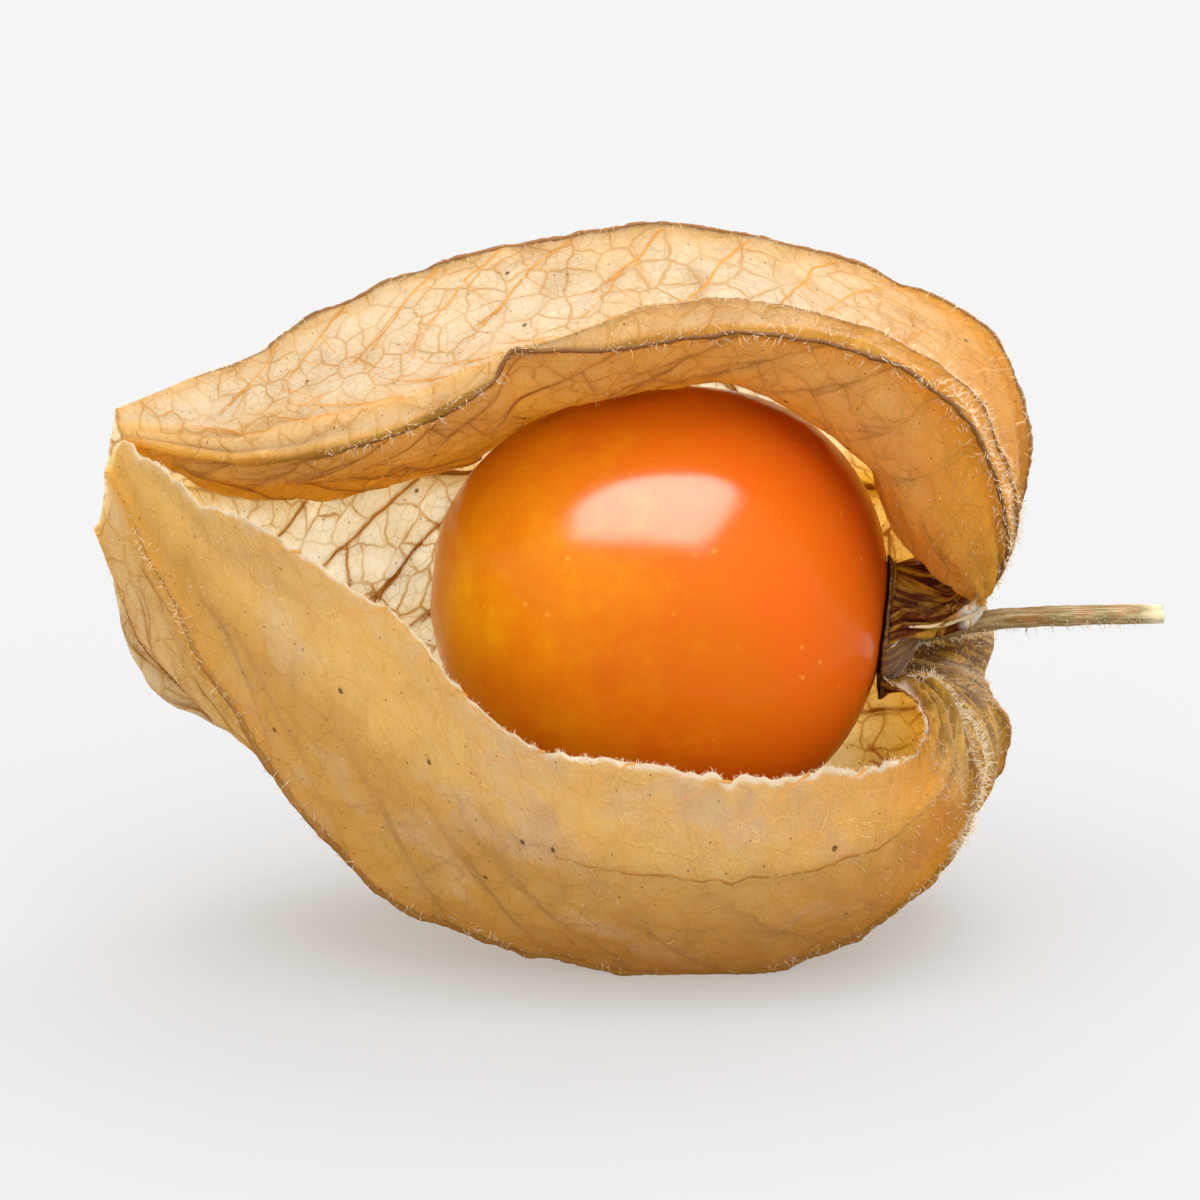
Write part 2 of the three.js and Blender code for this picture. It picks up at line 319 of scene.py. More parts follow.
# Each line runs from the ring round the stalk to the tip: its place on the ring, in degrees from
# the top towards the front, and its points.
LINES = {
    "upper_tear": (96, [(13.4, -3, 14.1), (15.0, -5, 15.5), (12.3, -3.0, 17.2), (9.7, 0.6, 21.8),
        (3.9, 3, 24.0), (-3.1, 5, 21.3), (-10.1, 1.5, 19.6), (-17.4, -1.2, 19.7),
        (-21.6, -0.3, 21.2)]),
    "curl": (80, [(13.5, -4, 14.6), (15.0, -6.5, 16.4), (12.9, -7.5, 18.8), (9.1, -6, 23.1),
        (3.3, -3, 25.3), (-3.5, -2, 23.5), (-10.0, -3, 21.4), (-17.1, -3.6, 20.7),
        (-21.7, -0.5, 21.6)]),
    "front_keel": (58, [(13.7, -4, 15.1), (15.7, -7, 18.9), (14.0, -9.3, 24.7), (9.9, -8.6, 27.4),
        (3.3, -6.6, 27.9), (-3.7, -7.2, 27.2), (-9.8, -8.6, 24.0), (-16.1, -5.8, 22.1),
        (-22.0, -0.8, 22.1)]),
    "front_rib": (42, [(14.0, -3, 15.1), (16.2, -5, 19.4), (14.6, -7.5, 24.6), (10.4, -7.5, 27.7),
        (3.3, -5.5, 28.7), (-3.7, -7, 27.5), (-9.8, -7.5, 25.1), (-16.3, -5, 23.0),
        (-22.2, -0.8, 22.5)]),
    "furrow": (30, [(14.0, -2.5, 15.1), (16.4, -3.5, 19.7), (15.0, -5.5, 24.4), (10.7, -5.5, 27.1),
        (3.3, -3.5, 27.9), (-3.7, -5, 27.7), (-10.1, -5.5, 25.8), (-16.6, -3.8, 23.4),
        (-22.3, -0.6, 22.7)]),
    "top_keel": (0, [(14.6, 0.5, 15.0), (17.1, 1, 21.2), (15.7, 2, 25.7), (10.4, 2, 28.8),
        (3.0, 1.5, 30.6), (-3.8, 1, 30.5), (-10.3, 0.5, 28.6), (-16.8, 0, 25.2),
        (-22.4, -0.1, 23.0)]),
    "upper_back": (-48, [(14.5, 3, 16.5), (16.8, 8, 19.5), (15.0, 11.5, 23.0), (10.0, 12, 26.0),
        (3.0, 12, 27.3), (-4.0, 11, 27.0), (-10.5, 9, 25.4), (-17.0, 4.6, 23.0),
        (-22.7, 0.6, 21.8)]),
    "back_keel": (-90, [(14.4, 4, 13.6), (16.3, 9.5, 14.2), (14.0, 14.5, 15.7), (9.0, 16.5, 16.7),
        (3.0, 16.8, 17.2), (-4.0, 15.8, 17.2), (-10.5, 13, 17.5), (-17.0, 7.4, 17.8),
        (-22.9, 0.8, 20.2)]),
    "lower_back": (-130, [(14.3, 3, 10.6), (15.9, 7.5, 8.7), (13.2, 11.5, 7.0), (8.5, 13.5, 6.0),
        (2.5, 13.5, 6.0), (-4.5, 13, 6.4), (-12.6, 9.8, 6.4), (-20.8, 4.8, 9.5),
        (-23.2, 0.5, 18.2)]),
    "under_keel": (-165, [(14.0, 0.5, 10.5), (16.3, 2, 8.6), (15.0, 5, 3.8), (9.5, 7, 0.4),
        (2.5, 7, -0.5), (-4.5, 7, 0.0), (-13.0, 6.2, 4.4), (-20.9, 2.4, 11.4),
        (-23.3, 0, 17.9)]),
    "foot_keel": (163, [(13.0, -3.5, 11.9), (14.9, -4.5, 7.8), (13.5, -6.5, 5.0), (9.8, -7.5, 1.6),
        (2.5, -8, -0.3), (-4.4, -8, 1.0), (-11.3, -8, 4.3), (-17.9, -5.6, 12.6),
        (-22.5, -1.1, 20.6)]),
    "apron": (140, [(12.4, -4, 11.6), (13.6, -7.5, 9.4), (12.8, -10.5, 8.4), (9.6, -12.5, 6.5),
        (2.4, -14, 5.9), (-3.9, -14, 7.2), (-10.2, -13, 11.7), (-17.3, -7, 17.0),
        (-22.3, -1.4, 21.6)]),
    "lower_tear": (118, [(11.9, -4, 11.6), (12.4, -7, 10.9), (12.1, -8, 9.9), (8.8, -10, 9.8),
        (2.4, -12, 10.2), (-4.7, -12, 11.7), (-10.5, -10, 16.9), (-17.8, -5.2, 20.2),
        (-21.9, -1.4, 22.3)]),
}
# The panels between creases, with the number of columns of the mesh across each
PANELS = [
    (("upper_tear", "curl", "front_keel"), 26),
    (("front_keel", "front_rib"), 12),
    (("front_rib", "furrow", "top_keel"), 26),
    (("top_keel", "upper_back", "back_keel"), 40),
    (("back_keel", "lower_back", "under_keel"), 34),
    (("under_keel", "foot_keel"), 28),
    (("foot_keel", "apron", "lower_tear"), 36),
]
ROWS_PER_STRETCH = [16, 22, 28, 26, 30, 30, 30, 30, 22]


def spline(points, at):
    """A centripetal Catmull-Rom curve through points, read at places counted in points."""
    points = np.asarray(points, float)
    points = np.concatenate([[2 * points[0] - points[1]], points, [2 * points[-1] - points[-2]]])
    at = np.clip(np.asarray(at, float), 0, len(points) - 3 - 1e-9)
    i = at.astype(int)
    w = (at - i)[:, None]
    p0, p1, p2, p3 = (points[i + k] for k in range(4))
    d0, d1, d2 = (np.maximum(np.linalg.norm(b - a, axis=1), 1e-6)[:, None] ** 0.5
                  for a, b in ((p0, p1), (p1, p2), (p2, p3)))
    t1 = ((p1 - p0) / d0 - (p2 - p0) / (d0 + d1) + (p2 - p1) / d1) * d1
    t2 = ((p2 - p1) / d1 - (p3 - p1) / (d1 + d2) + (p3 - p2) / d2) * d1
    return (p1 + t1 * w + (-3 * p1 + 3 * p2 - 2 * t1 - t2) * w**2
            + (2 * p1 - 2 * p2 + t1 + t2) * w**3)


def crowded(count):
    """Places from 0 to nearly 1, crowded towards both ends, where the creases are."""
    w = np.arange(count) / count
    return w - 0.13 * np.sin(2 * np.pi * w)


stations = np.concatenate([k + np.arange(n) / n for k, n in enumerate(ROWS_PER_STRETCH)] + [[9.0]])
lines = {}
for name, (turn, line) in LINES.items():
    a = math.radians(turn)
    ring = NECK_MIDDLE + NECK_RADIUS * np.array([0, -math.sin(a), math.cos(a)])
    lines[name] = spline([ring] + line, stations)
across_panel = [crowded(count) for _, count in PANELS]
across = np.concatenate([k + w for k, w in enumerate(across_panel)] + [[7.0]])
ROWS, COLUMNS = len(stations), len(across)
wall = np.zeros((ROWS, COLUMNS, 3))
# How far, in millimetres, each torn edge is eaten back: long bites, short teeth and one notch
row_points = np.stack([stations * 6.5, 0 * stations, 0 * stations], 1)
bites = {edge: 0.45 * (0.6 + rough(row_points, 2.6, seed, 2))
         + 0.3 * rough(row_points, 0.6, seed + 9, 2) for edge, seed in (("upper", 2), ("lower", 4))}
for at, depth, spread in ((4.76, 0.5, 0.045), (7.7, -0.8, 0.13), (8.15, 0.5, 0.12)):
    bites["lower"] += depth * np.exp(-(((stations - at) / spread) ** 2))
NARROW = 2.5  # a panel narrower than this, in millimetres, is eaten as if it were this wide
for i in range(ROWS):
    start = 0
    for k, (names, count) in enumerate(PANELS):
        ends = [lines[n][i] for n in names]
        width = max(sum(np.linalg.norm(b - a) for a, b in zip(ends, ends[1:])), 0.8)
        share = across_panel[k]
        if k == 0:
            bite = bites["upper"][i] / max(width, NARROW)
            share = bite + (1 - bite) * share
        if k == len(PANELS) - 1:
            share = np.append(share, 1.0) * (1 - bites["lower"][i] / max(width, NARROW))
        row = spline(ends, share * (len(names) - 1))
        wall[i, start : start + len(row)] = row
        start += count


def facing(grid):
    """Outward normals of a grid of points."""
    along = np.gradient(grid, axis=0)
    round_ = np.gradient(grid, axis=1)
    normal = np.cross(round_, along)
    return normal / np.maximum(np.linalg.norm(normal, axis=2, keepdims=True), 1e-9)


def keep_off_berry(grid, gap):
    """Moves the points that come too near the berry straight out from its middle."""
    away = grid - np.array(GIRTH)
    along = away @ np.array(BERRY_AXIS)
    across_axis = np.linalg.norm(away - along[..., None] * np.array(BERRY_AXIS), axis=-1)
    half = np.where(along > 0, STALK_HALF, TIP_HALF) + gap
    near = (abs(along) / half) ** SQUARENESS + (across_axis / (BERRY_RADIUS + gap)) ** SQUARENESS
    near = np.maximum(near, 1e-6)
    factor = np.where(near < 1, near ** (-1 / SQUARENESS), 1)
    return np.array(GIRTH) + away * factor[..., None]


# For each point of the wall: its distances in millimetres from the torn edges and from each
# crease, its station counted from the neck, and its place round the husk counted in panels
step = np.linalg.norm(np.diff(wall, axis=1), axis=2)
reach = np.concatenate([np.zeros((ROWS, 1)), np.cumsum(step, axis=1)], axis=1)
crease_columns = np.concatenate([[0], np.cumsum([count for _, count in PANELS])])
edge_gap = np.minimum(reach, reach[:, -1:] - reach)
crease_gaps = np.stack([abs(reach - reach[:, c : c + 1]) for c in crease_columns[1:-1]])
crease_gap = crease_gaps.min(axis=0)
from_neck = np.repeat(stations[:, None], COLUMNS, axis=1)
ring_place = np.repeat(across[None, :], ROWS, axis=0)

# The dried skin cockles: broad waves, small crumples, and fine pleats drawn in towards the neck
normal = facing(wall)
away_from_ends = np.clip(from_neck / 1.5, 0, 1) * np.clip((9 - from_neck) / 0.8, 0, 1)
crumple = 0.34 * rough(wall, 6.5, 1, 2) + 0.15 * rough(wall, 2.2, 5, 3) + 0.05 * rough(wall, 0.9, 8, 2)
pleats = np.sin(ring_place * 2 * np.pi * 3.1 + 1.3 * np.sin(from_neck * 1.7))
tip_folds = (0.16 * np.sin(ring_place * 2 * np.pi * 1.7 + from_neck)
             * np.clip((from_neck - 6.6) / 1.2, 0, 1))
pleats *= 0.3 * np.clip(from_neck / 0.6, 0, 1) * np.clip((3.4 - from_neck) / 2.2, 0, 1)
keel_rise = 0.16 * np.exp(-((crease_gap / 0.35) ** 2)) * np.clip(from_neck, 0, 1)
# A fold runs along the upper tear, and the front keel has a step where the skin above it is torn
fold = 0.2 * np.exp(-(((reach - 0.8) / 0.18) ** 2)) * np.clip((5.2 - from_neck) / 0.6, 0, 1)
STEP_STATIONS = [4.9, 5.3, 5.67, 5.9, 6.05, 6.19, 6.25, 6.34, 6.55, 6.85]
STEP_RISES = [0, -0.35, -0.6, -0.25, 0.05, 0.6, 0.6, -0.3, -0.2, 0]
step_up = np.interp(from_neck, STEP_STATIONS, STEP_RISES) * np.exp(-(((ring_place - 1) / 0.45) ** 2))
wall += normal * ((crumple + tip_folds) * away_from_ends + pleats + keel_rise + fold)[..., None]
wall[..., 2] += step_up
wall = keep_off_berry(wall, KEEP_OFF)
FOOT_ROUNDING = 0.42  # the skin curls up gently from where it touches the table
wall[..., 2] = (wall[..., 2] + np.sqrt(wall[..., 2] ** 2 + FOOT_ROUNDING**2)) / 2
wall[..., 2] += WALL / 2 + 0.01 - wall[..., 2].min()
normal = facing(wall)

# Two faces and the strips that close them
half = WALL / 2 * np.clip(0.35 + edge_gap / 0.5, 0.35, 1.0)[..., None]
points = np.concatenate([(wall + normal * half).reshape(-1, 3), (wall - normal * half).reshape(-1, 3)])
outer_face = np.arange(ROWS * COLUMNS).reshape(ROWS, COLUMNS)


def quads(a, b, c, d):
    return np.stack([a.ravel(), b.ravel(), c.ravel(), d.ravel()], axis=1)


def strip(outer, inner):
    return quads(outer[:-1], outer[1:], inner[1:], inner[:-1])


def shell(top, under, sides=True):
    """Faces of a sheet's two faces and of the strips that close its ends and its sides."""
    closing = [strip(top[:, 0], under[:, 0]), strip(under[:, -1], top[:, -1])] if sides else []
    return np.concatenate([
        quads(top[:-1, :-1], top[:-1, 1:], top[1:, 1:], top[1:, :-1]),
        quads(under[:-1, :-1], under[1:, :-1], under[1:, 1:], under[:-1, 1:]),
        *closing, strip(under[0], top[0]), strip(top[-1], under[-1])]).tolist()


faces = shell(outer_face, outer_face + ROWS * COLUMNS)

# Dried calyx: leaf skin gone to thin, tough, slightly glossy paper. Light passes through it and
# warms it, its veins are denser and browner than the skin between them, and small dark oil specks
# lie on it. It is browner and thicker round the stalk, the brown partly painted shade, and cream
# where it is torn.
husk_paper, tree = new_material("dried_calyx_paper")


def between(tree, value, low, high, to_low=0.0, to_high=1.0):
    """Eases from one number to another as a value goes from low to high."""
    ramp = add(tree, "ShaderNodeMapRange",
               {"From Min": low, "From Max": high, "To Min": to_low, "To Max": to_high},
               {"Value": value}, interpolation_type="SMOOTHSTEP")
    return ramp, "Result"


def cells(tree, where, size, randomness=1.0, feature="F1"):
    """A flat net of cells, each about size across."""
    return add(tree, "ShaderNodeTexVoronoi", {"Scale": 1 / size, "Randomness": randomness},
               {"Vector": where}, voronoi_dimensions="2D", feature=feature)


def specks(tree, where, apart, solid_to, faint_to, spared):
    """Round specks: how far apart, how wide, and the share of them that is left out."""
    spots = cells(tree, where, apart)
    parts = add(tree, "ShaderNodeSeparateColor", links={"Color": (spots, "Color")})
    return sum_of(tree, "MULTIPLY", between(tree, (spots, "Distance"), solid_to, faint_to, 1, 0),
                  sum_of(tree, "GREATER_THAN", (parts, "Green"), spared))


def lit_through(tree, roughness, shine, colour, glow, passing, normal=None):
    """Ends a material with a surface that lets a share of the light pass, in the glow's colour."""
    front = add(tree, "ShaderNodeBsdfPrincipled",
                {"Roughness": roughness, "Specular IOR Level": shine})
    through = add(tree, "ShaderNodeBsdfTranslucent")
    both = add(tree, "ShaderNodeMixShader", links={1: (front, "BSDF"), 2: (through, "BSDF")})
    plug(tree, both.inputs[0], passing)
    plug(tree, front.inputs["Base Color"], colour)
    plug(tree, through.inputs["Color"], glow)
    if normal:
        plug(tree, front.inputs["Normal"], normal)
        plug(tree, through.inputs["Normal"], normal)
    add(tree, "ShaderNodeOutputMaterial", links={"Surface": (both, "Shader")})


leaf = (add(tree, "ShaderNodeUVMap", uv_map="leaf"), "UV")
sway = add(tree, "ShaderNodeTexNoise", {"Scale": 0.8, "Detail": 2}, {"Vector": leaf})
sway_centred = add(tree, "ShaderNodeVectorMath", {1: (0.5, 0.5, 0.5)}, {0: (sway, "Color")},
                   operation="SUBTRACT")
sway_scaled = add(tree, "ShaderNodeVectorMath", {"Scale": 0.9}, {0: (sway_centred, "Vector")},
                  operation="SCALE")
swayed = (add(tree, "ShaderNodeVectorMath", links={0: leaf, 1: (sway_scaled, "Vector")},
              operation="ADD"), "Vector")
WIDE_CELL, FINE_CELL = 1.5, 0.55  # millimetres across the cells of the vein net
wide = cells(tree, swayed, WIDE_CELL, 0.9, "DISTANCE_TO_EDGE")
fine = cells(tree, swayed, FINE_CELL, 0.85, "DISTANCE_TO_EDGE")
wide_vein = between(tree, (wide, "Distance"), 0.022, 0.062, 1, 0)
fine_vein = between(tree, (fine, "Distance"), 0.02, 0.09, 0.45, 0)
vein = sum_of(tree, "MULTIPLY", sum_of(tree, "MAXIMUM", wide_vein, fine_vein),
              between(tree, cloudy(tree, leaf, 0.3, 3), 0.35, 0.6, 0.3, 1.0))
areole = between(tree, (wide, "Distance"), 0.06, 0.4)  # the thin middle of a cell
# patches worn thinner, that shine through, and broad stains
thin = between(tree, cloudy(tree, swayed, 0.24, 3, 0.55, 0.6), 0.5, 0.68)
stained = between(tree, cloudy(tree, leaf, 0.22, 4, 0.6), 0.42, 0.7)
cell_split = add(tree, "ShaderNodeSeparateColor",
                 links={"Color": (cells(tree, swayed, WIDE_CELL, 0.9), "Color")})
fibre = cloudy(tree, leaf, 5.5, 7, 0.65, 1.8)
drawn_out = add(tree, "ShaderNodeMapping", {"Scale": (0.35, 4.0, 1)}, {"Vector": leaf})
fibres = between(tree, cloudy(tree, (drawn_out, "Vector"), 1.0, 4, 0.6), 0.45, 0.62)
rim, keel, neck, tan, gold_light_and_shade, table_shade, net = (
    (add(tree, "ShaderNodeAttribute", attribute_name=name), "Fac")
    for name in ("rim", "keel", "neck", "tan", "gold_light_and_shade", "low", "net"))
speck = sum_of(tree, "MAXIMUM", specks(tree, leaf, 0.95, 0.028, 0.06, 0.68),
               specks(tree, leaf, 4.3, 0.015, 0.035, 0.6))
net_vein = sum_of(tree, "MULTIPLY", vein, net)
# The cells' middles are pale only outside the golden and tawny marks, which carry painted light and
# shade
deeper = sum_of(tree, "MAXIMUM", gold_light_and_shade, sum_of(tree, "MULTIPLY", tan, 0.75))
pale_middle = sum_of(tree, "MULTIPLY",
                     sum_of(tree, "MULTIPLY", areole, sum_of(tree, "MULTIPLY", net, 0.6)),
                     sum_of(tree, "SUBTRACT", 1.0, deeper))


def leaf_colour(paper, stains, veins, brown, keels, rims, tan_with_shade, golden, foot):
    """The skin's colour, laid on in layers from the plain paper to the bare rims."""
    streaked = socket_mix(tree, sum_of(tree, "MULTIPLY", fibres, 0.55), brown, golden)
    tone = paper
    # The tawny, golden and foot layers carry painted shade and painted light as well as the skin's own
    # colour
    for share, of, colour, blend in (
            (1, tan, tan_with_shade, "MIX"), (0.7, thin, paper, "MIX"), (1, gold_light_and_shade, golden, "MIX"),
            (1, table_shade, foot, "MIX"), (1, pale_middle, "#FFFAE6", "SCREEN"),
            (0.26, stained, stains, "MIX"), (0.07, (cell_split, "Red"), stains, "MIX"),
            (0.3, between(tree, fibre, 0.3, 0.7), stains, "MIX"), (1, net_vein, veins, "MIX"),
            (1, neck, streaked, "MIX"), (0.8, speck, "#6B3A10", "MIX"), (1, keel, keels, "MIX"),
            (1, rim, rims, "MIX")):
        factor = of if share == 1 else sum_of(tree, "MULTIPLY", of, share)
        tone = socket_mix(tree, factor, tone, colour, blend)
    return tone


shown = leaf_colour(paper="#FDF6E0", stains="#ECC468", veins="#D09E44", brown="#5E2C10",
                    keels="#6A3E1C", rims="#FCF4E0", tan_with_shade="#E8C87E", golden="#EFB840",
                    foot="#C08A3E")
shining = leaf_colour(paper="#FFFFF8", stains="#FCE294", veins="#DCAC4C", brown="#6E2C0C",
                      keels="#5E3416", rims="#FFFBEA", tan_with_shade="#F9E08E", golden="#FFD258",
                      foot="#CC8E3A")
relief = sum_of(tree, "ADD", sum_of(tree, "MULTIPLY", net_vein, 0.6),
                sum_of(tree, "MULTIPLY", fibre, 0.9))
grain = add(tree, "ShaderNodeBump", {"Strength": 0.9, "Distance": 0.00016}, {"Height": relief})
dense = sum_of(tree, "MAXIMUM", sum_of(tree, "MULTIPLY", neck, 0.9),
               sum_of(tree, "MULTIPLY", vein, 0.35))
passing = sum_of(tree, "ADD", between(tree, dense, 0, 1, 0.7, 0.12),
                 sum_of(tree, "MULTIPLY", thin, 0.12))
lit_through(tree, 0.6, 0.03, shown, shining, passing, (grain, "Normal"))

husk = new_piece("torn_husk", points, faces, husk_paper)


def store_faces(name, outer, inner):
    """Stores a number for each point of the husk's outer face and of its inner face."""
    store(husk, name, np.concatenate([outer.ravel(), inner.ravel()]))


def rise(value, low, high):
    """0 up to low, 1 from high on, and straight between them. High may lie below low."""
    return np.clip((value - low) / (high - low), 0, 1)


# How dark each crease is: front keel, front rib, top keel, back, under, foot
CREASE_DARKNESS = [0.5, 0.3, 0.75, 0.4, 0.4, 0.7]
dark_creases = np.exp(-((crease_gaps / 0.1) ** 2))
dark_creases[0] *= np.interp(from_neck, [5.0, 6.0], [0.35, 1.0])
dark_creases[1] *= from_neck < 6.1  # the front rib ends at the front keel's step
keels = sum(dark * crease for dark, crease in zip(CREASE_DARKNESS, dark_creases))
keels = np.clip(keels * rise(from_neck, 8.6, 7.6), 0, 1)
store_faces("keel", keels, 0.35 * keels)
# Bare inner skin shows cream along the tears, widest above the berry and round the stalk
upper_rim = np.interp(from_neck, [0, 0.6, 1.3, 1.7, 2.2, 5, 6, 9],
                      [0.05, 0.18, 0.3, 0.45, 0.2, 0.22, 0.15, 0.12])
lower_rim = (np.interp(from_neck, [0, 0.6, 2.8, 3.8, 5, 6, 9],
                       [0.03, 0.1, 0.12, 0.3, 0.28, 0.16, 0.12]) + 0.08 * rough(wall, 1.6, 12, 2))
frayed = 0.12 * rough(wall, 0.5, 11, 2)
rims = np.maximum(1.3 - (reach + frayed) / upper_rim,
                  1.3 - (reach[:, -1:] - reach + frayed) / lower_rim)
bare_corner = (1.25 - abs(from_neck - 1.66) / 0.3 + 0.5 * frayed) * rise(ring_place, 0.8, 0.6)
store_faces("rim", np.clip(1.4 * rims, 0, 1), np.clip(1.4 * np.maximum(rims, bare_corner), 0, 1))
# Brown round the stalk: partly the skin's own colour, partly painted shade inside the sunken funnel
# and among the puckers beneath it
neck_brown = rise(from_neck, 1.9, 0.7)
under_pucker_shade = (np.interp(ring_place, [3.8, 4.2, 5.4, 6.5, 7], [0, 0.9, 0.85, 0.62, 0.3])
               * rise(from_neck, 3.0, 1.5))
store_faces("neck", np.maximum(0.55 * neck_brown, under_pucker_shade), rise(from_neck, 2.3, 1.4))
# Painted light and shade: the skin is palest over the top and the back, where light falls on it and
# shines through it, and tawny on the flap, the apron and the underside, which lie in shade. It is
# tawny towards the stalk as well.
tan_and_shade_share = np.interp(ring_place, [0, 1, 1.3, 2, 3, 4, 5, 5.6, 6, 7],
                      [0.7, 0.6, 0.25, 0.05, 0, 0, 0.3, 0.8, 1, 0.85])
tan_and_shade_share = np.maximum(tan_and_shade_share, 0.9 * rise(from_neck, 3.0, 1.6))
store_faces("tan", tan_and_shade_share, tan_and_shade_share)
# Everything near the stalk is deeper and more golden; so is the flap, as painted orange light bounced
# onto it from the berry, and a band along each crease, as painted shade
flap_bounce_gold = np.clip(1.35 - ring_place, 0, 1) * 0.9
neck_gold = 0.9 * rise(from_neck, 4.6, 3.0)
crease_shade_gold = 0.6 * np.exp(-crease_gap / 0.7)
gold_light_and_shade_share = np.clip(np.maximum(flap_bounce_gold, neck_gold) + crease_shade_gold, 0, 1)
store_faces("gold_light_and_shade", gold_light_and_shade_share, gold_light_and_shade_share)
# The net is plainest where light comes through it, and faint where the outer face is painted tawny for
# shade
store_faces("net", 0.75 - 0.4 * tan_and_shade_share, np.full(tan_and_shade_share.shape, 0.75))
# It gets darker towards the table: painted shade on the skin nearest the table
TABLE_DARKNESS, TABLE_REACH = 0.75, 4.5
table_shade_share = TABLE_DARKNESS * rise(wall[..., 2], TABLE_REACH, 0)
store_faces("low", table_shade_share, table_shade_share)


def corners_of(piece):
    """The point that each corner of a piece's faces lies on."""
    corners = np.empty(len(piece.data.loops), int)
    piece.data.loops.foreach_get("vertex_index", corners)
    return corners


def lay_map(piece, name, flat):
    """Lays a flat map, given for each corner, on a piece."""
    layer = piece.data.uv_layers.new(name=name)
    layer.data.foreach_set("uv", flat.astype(np.float32).ravel())


# A leaf map in millimetres, one island for each panel: along the husk, and round it from the
# panel's middle
MAP_START, MAP_APART = (40, 30), 40
lengths = np.linalg.norm(np.diff(wall, axis=0), axis=2).mean(axis=1)
along_husk = np.concatenate([[0], np.cumsum(lengths)])
rows, columns = np.divmod(corners_of(husk) % (ROWS * COLUMNS), COLUMNS)
face_sizes = np.array([len(face) for face in faces])
first_corners = np.concatenate([[0], np.cumsum(face_sizes)[:-1]])
first_columns = np.minimum.reduceat(columns, first_corners)
panel_of = np.searchsorted(crease_columns[1:-1], np.repeat(first_columns, face_sizes), side="right")
middles = (crease_columns[:-1] + crease_columns[1:]) // 2
round_husk = reach[rows, columns] - reach[rows, middles[panel_of]]
lay_map(husk, "leaf", np.stack([along_husk[rows] + MAP_START[0],
                                round_husk + MAP_APART * panel_of + MAP_START[1]], axis=1))
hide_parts("husk")

# ---------------------------------------------------------------------------------------------
# The husk's collar: the puckered inner end of the same skin, which closes the ring and is grown onto
# the stalk. It is dark brown, partly its own colour and partly painted shade of the gap it sits in.
# ---------------------------------------------------------------------------------------------
COLLAR_RINGS, COLLAR_SIDES = 16, 104
COLLAR_END, COLLAR_END_RADIUS = np.array([12.5, -0.05, 13.25]), 0.42
inwards = np.linspace(0, 1, COLLAR_RINGS)[:, None]
around = (np.arange(COLLAR_SIDES) / COLLAR_SIDES * 2 * np.pi)[None, :]
collar_radius = (NECK_RADIUS + 0.12) * (1 - inwards) + COLLAR_END_RADIUS * inwards
puckers = 0.03 * np.sin(13 * around) + 0.02 * np.sin(29 * around)
collar_radius = collar_radius * (1 + (1 - inwards) * puckers)
collar_middle = NECK_MIDDLE + (COLLAR_END - NECK_MIDDLE) * inwards[..., None] ** 0.75
collar = collar_middle + collar_radius[..., None] * np.stack(
    [0 * around, -np.sin(around), np.cos(around)], 2)
collar[..., 0] += 0.09 * np.sin(21 * around) * np.sin(np.pi * inwards)
collar = keep_off_berry(collar, 0.2)
collar_half = np.array([WALL / 2, 0, 0])
points = np.concatenate([(collar + collar_half).reshape(-1, 3),
                         (collar - collar_half).reshape(-1, 3)])
collar_rings = np.arange(COLLAR_RINGS * COLLAR_SIDES).reshape(COLLAR_RINGS, COLLAR_SIDES)
collar_rings = np.concatenate([collar_rings, collar_rings[:, :1]], axis=1)
faces = shell(collar_rings, collar_rings + COLLAR_RINGS * COLLAR_SIDES, sides=False)
collar_piece = new_piece("husk_collar", points, faces, husk_paper)
# These marks make the collar evenly dark brown: the skin's own brown and painted shade
for name, amount in {"neck": 0.9, "gold_light_and_shade": 0.3, "net": 0.2, "tan": 0, "rim": 0, "keel": 0.6,
                     "low": 0}.items():
    store(collar_piece, name, np.full(len(points), amount))
# The map runs round and back again, so that it has no seam
ring, turn = np.divmod(corners_of(collar_piece) % (COLLAR_RINGS * COLLAR_SIDES), COLLAR_SIDES)
lay_map(collar_piece, "leaf", np.stack([3.0 * inwards[ring, 0],
                                        NECK_RADIUS * abs(around[0, turn] - np.pi)], axis=1))

# ---------------------------------------------------------------------------------------------
# The husk's ribs and veins: the leaf's own tougher strands, standing proud of both faces. One runs
# along each keel, and side veins leave it towards the tip and branch.
# ---------------------------------------------------------------------------------------------
# Dried leaf strands: denser and more golden than the skin between them, so they stay darker with
# light behind them and lighter with light on them
vein_strand, tree = new_material("dried_leaf_strand")
strand_where = add(tree, "ShaderNodeTexCoord")
strand_tone = cloudy(tree, (strand_where, "Object"), 320, 3)
dark_strand = (add(tree, "ShaderNodeAttribute", attribute_name="dark"), "Fac")
strand_colour = socket_mix(tree, between(tree, strand_tone, 0.35, 0.65), "#D29C46", "#BC8434")
lit_through(tree, 0.7, 0.05, colour=socket_mix(tree, dark_strand, strand_colour, "#6B4020"),
            glow=socket_mix(tree, dark_strand, "#FAE2A8", "#8A5A30"),
            passing=between(tree, dark_strand, 0, 1, 0.55, 0.15))


def on_wall(grid, station, place):
    """The grid's value at a station along the husk and a place round it, counted in panels."""
    row = np.clip(np.interp(station, stations, np.arange(ROWS)), 0, ROWS - 1.001)
    column = np.clip(np.interp(place, across, np.arange(COLUMNS)), 0, COLUMNS - 1.001)
    i, j = row.astype(int), column.astype(int)
    v, w = (row - i)[:, None], (column - j)[:, None]
    return ((grid[i, j] * (1 - w) + grid[i, j + 1] * w) * (1 - v)
            + (grid[i + 1, j] * (1 - w) + grid[i + 1, j + 1] * w) * v)


def above_wall(station, place, lift):
    """A line on the husk, lifted off the middle of its wall by so many millimetres."""
    return on_wall(wall, station, place) + on_wall(normal, station, place) * lift


